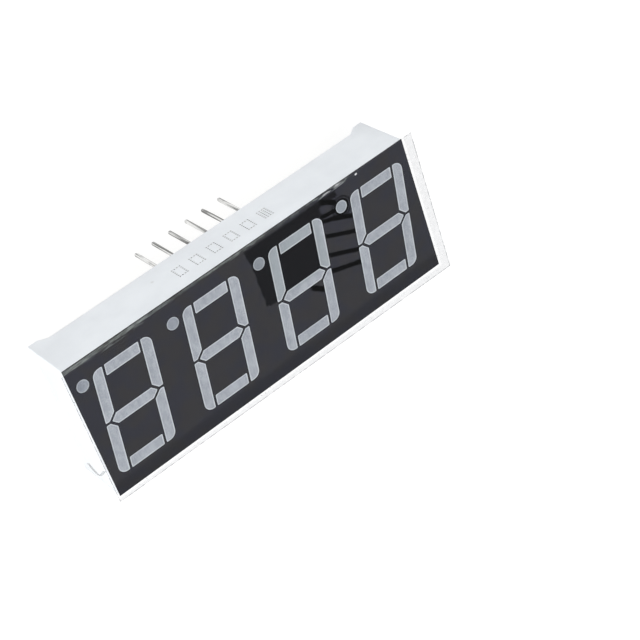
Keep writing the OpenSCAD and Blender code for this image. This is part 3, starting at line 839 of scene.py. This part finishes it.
def buildPin(name, material):
    low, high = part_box(name)
    centre = (low + high) / 2
    held = (high.x - low.x) / 2
    points = [vert.co for vert in nodes[name].data.vertices]
    ring = [co for co in points if abs(co.z - low.z - pin["tipLength"]) < 1e-6]
    free = max((co.xy - centre.xy).length for co in ring)
    swell = min(co.z for co in points if (co.xy - centre.xy).length > (free + held) / 2)
    tip = low.z
    outline = [(0, tip), (pin["tipRadius"] - pin["tipRound"], tip),
               (pin["tipRadius"] - pin["tipRound"] * 0.3, tip + pin["tipRound"] * 0.3),
               (pin["tipRadius"], tip + pin["tipRound"]),
               (free - pin["shoulderRound"] * 0.5, tip + pin["tipLength"] - pin["shoulderRound"]),
               (free - pin["shoulderRound"] * 0.12, tip + pin["tipLength"]),
               (free, tip + pin["tipLength"] + pin["shoulderRound"]),
               (free, swell), (held, swell), (held, high.z - pin["headChamfer"]),
               (held - pin["headChamfer"], high.z), (0, high.z)]
    shape = bmesh.new()
    verts = [shape.verts.new((centre.x + radius, centre.y, height)) for radius, height in outline]
    edges = [shape.edges.new(pair) for pair in zip(verts, verts[1:])]
    bmesh.ops.spin(shape, geom=verts + edges, cent=(centre.x, centre.y, 0), axis=(0, 0, 1),
                   angle=math.tau, steps=pin["sides"], use_merge=True)
    bmesh.ops.remove_doubles(shape, verts=shape.verts, dist=1e-7)
    bmesh.ops.recalc_face_normals(shape, faces=shape.faces)
    piece = toObject(shape, name + "_wire")
    finishPiece(piece, material, [name], 35)
    return piece


# rear resin

resin = {
    "gridStep": 0.3 * mm,
    "dish": 0.09 * mm,           # how far the middle of the surface has shrunk in
    "wallReach": 0.6 * mm,
    "pinReach": 0.16 * mm,
    "creep": 0.29 * mm,
    "level": 0.2 * mm,           # height of the undished surface above the lowest creep
    "ripple": 0.01 * mm,
    "rippleSize": 3 * mm,
    "overrun": 0.4 * mm,         # how far the mould's surface runs past the casting
}


def buildResin(material):
    low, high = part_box("rear_resin")
    held = [(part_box(name)[0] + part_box(name)[1]) / 2 for name in pinNames]
    radius = (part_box(pinNames[0])[1].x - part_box(pinNames[0])[0].x) / 2
    level = low.z + resin["level"]
    shape = bmesh.new()
    over = resin["overrun"]
    sizeX, sizeY = high.x - low.x + 2 * over, high.y - low.y + 2 * over
    bmesh.ops.create_grid(shape, x_segments=round(sizeX / resin["gridStep"]),
                          y_segments=round(sizeY / resin["gridStep"]), size=0.5)
    for vert in shape.verts:
        x, y = vert.co.x * sizeX, vert.co.y * sizeY
        toWall = max(0.0, min(high.x - abs(x), high.y - abs(y)))
        toPin = max(0.0, min((Vector((x, y)) - place.xy).length for place in held) - radius)
        dished = resin["dish"] * (1 - math.exp(-toWall / resin["wallReach"]))
        ripple = resin["ripple"] * noise.noise(Vector((x, y, 0)) / resin["rippleSize"])
        pull = resin["creep"] * math.exp(-toPin / resin["pinReach"])
        vert.co = Vector((x, y, level + dished + ripple * min(1.0, toWall / mm) - pull))
    pushed = bmesh.ops.extrude_face_region(shape, geom=shape.faces[:])["geom"]
    for item in pushed:
        if isinstance(item, bmesh.types.BMVert):
            item.co.z = low.z - 0.5 * mm
    bmesh.ops.recalc_face_normals(shape, faces=shape.faces)
    mould = toObject(shape, "mould")
    cast = mergedCopy("rear_resin")
    piece = toObject(cast, "resin_casting")
    combine(piece, mould, "DIFFERENCE")
    finishPiece(piece, material, ["rear_resin"], 40)
    return piece


# build everything

surfaceGroup = makeSurfaceGroup()
contactGroup = makeContactGroup()
print("shared effects made")

buildHousing(housingMaterial(surfaceGroup))
print("housing made")

buildInk(inkMaterial(surfaceGroup, contactGroup))
barResin = segmentMaterial("diffusedResin", barLook, surfaceGroup, contactGroup)
pointResin = segmentMaterial("diffusedPoint", pointLook, surfaceGroup, contactGroup)
for name in segmentNames:
    buildDiffuser(name, pointResin if name.endswith("_point") else barResin)
print("diffusers made:", len(segmentNames))

buildFilm(filmMaterial(surfaceGroup, contactGroup))
print("film made")

tinned = pinMaterial()
for name in pinNames:
    buildPin(name, tinned)
print("pins made:", len(pinNames))

milky = castMaterial("milkyResin", (0.66, 0.64, 0.56, 1), (0.6, 0.57, 0.48, 1), 0.2, 0.0005, surfaceGroup)
buildResin(milky)
print("rear resin made")

paintNode("circuit_board", laminateMaterial())
even = (1, 1, 1)
foil = metalMaterial("copperFoil", (0.72, 0.38, 0.24, 1), (0.5, 0.25, 0.15, 1), 0.35, even, 3000.0)
paintNode("board_copper", foil)
fillet = metalMaterial("solderFillet", (0.62, 0.62, 0.64, 1), (0.4, 0.4, 0.42, 1), 0.25, even, 2500.0)
paintNode("solder_joints", fillet)
crystal = castMaterial("sawnCrystal", (0.5, 0.42, 0.16, 1), (0.36, 0.3, 0.12, 1), 0.35, 0.00004,
                       surfaceGroup)
gold = metalMaterial("goldWire", (0.9, 0.66, 0.28, 1), (0.7, 0.48, 0.18, 1), 0.25, even, 20000.0)
for name in chipNames:
    paintNode(name, crystal)
for name in wireNames:
    paintNode(name, gold)
print("hidden parts painted")


# camera, floor and light

studio = {
    "cameraPlace": Vector((72.656, -120.560, 167.691)) * mm,
    "cameraRight": Vector((-0.75587, 0.27569, 0.59385)),
    "cameraUp": Vector((-0.54453, -0.76832, -0.33640)),
    "lens": 101.84,
    "floorSize": 6.0,
    "skyLow": (0.85, 0.87, 0.9, 1),
    "skyHigh": (0.26, 0.27, 0.285, 1),
}


def placeCamera():
    camera = bpy.data.objects.new("camera", bpy.data.cameras.new("camera"))
    scene.collection.objects.link(camera)
    right, up = studio["cameraRight"].normalized(), studio["cameraUp"].normalized()
    back = right.cross(up).normalized()
    up = back.cross(right)
    turn = Matrix((right, up, back)).transposed().to_4x4()
    camera.matrix_world = Matrix.Translation(studio["cameraPlace"]) @ turn
    camera.data.lens = studio["lens"]
    camera.data.sensor_width = 36
    camera.data.clip_start = 0.001
    camera.data.clip_end = 20
    scene.camera = camera


def layFloor():
    shape = bmesh.new()
    bmesh.ops.create_grid(shape, x_segments=1, y_segments=1, size=studio["floorSize"] / 2)
    bmesh.ops.translate(shape, verts=shape.verts, vec=(0, 0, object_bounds()[0].z))
    floor = toObject(shape, "floor")
    material, tree, shader, place = newMaterial("paper", 0.9, **{"Specular IOR Level": 0.0})
    shade = tint(tree, mottle(tree, place, 4.0), (0.15, 0.15, 0.15, 1), (0.17, 0.17, 0.17, 1))
    tree.links.new(shade, shader.inputs["Base Color"])
    shader.inputs["Emission Color"].default_value = (1, 1, 1, 1)
    shader.inputs["Emission Strength"].default_value = 0.9
    floor.data.materials.append(material)


def addLight(name, place, aim, size, power, colour=(1, 1, 1)):
    light = bpy.data.lights.new(name, "AREA")
    light.size = size
    light.energy = power
    light.color = colour
    lamp = bpy.data.objects.new(name, light)
    scene.collection.objects.link(lamp)
    lamp.location = place
    lamp.rotation_euler = (Vector(aim) - Vector(place)).to_track_quat("-Z", "Y").to_euler()


def makeSky():
    world = bpy.data.worlds.new("studio")
    world.use_nodes = True
    tree = world.node_tree
    direction = tree.nodes.new("ShaderNodeSeparateXYZ")
    tree.links.new(tree.nodes.new("ShaderNodeTexCoord").outputs["Generated"], direction.inputs[0])
    rise = fade(tree, direction.outputs["Z"], 0.0, 0.55)
    colour = tint(tree, rise, studio["skyLow"], studio["skyHigh"])
    tree.links.new(colour, tree.nodes["Background"].inputs["Color"])
    scene.world = world


placeCamera()
layFloor()
makeSky()
addLight("overhead", (0.2, -0.15, 0.7), (0, 0, 0), 0.5, 5.5)
addLight("front", (-0.1, -0.7, 0.3), (0, 0, 0), 0.4, 0.35)
addLight("side", (0.7, 0.1, 0.25), (0, 0, 0), 0.4, 2.2)
scene.view_settings.view_transform = "Standard"
print("studio made")
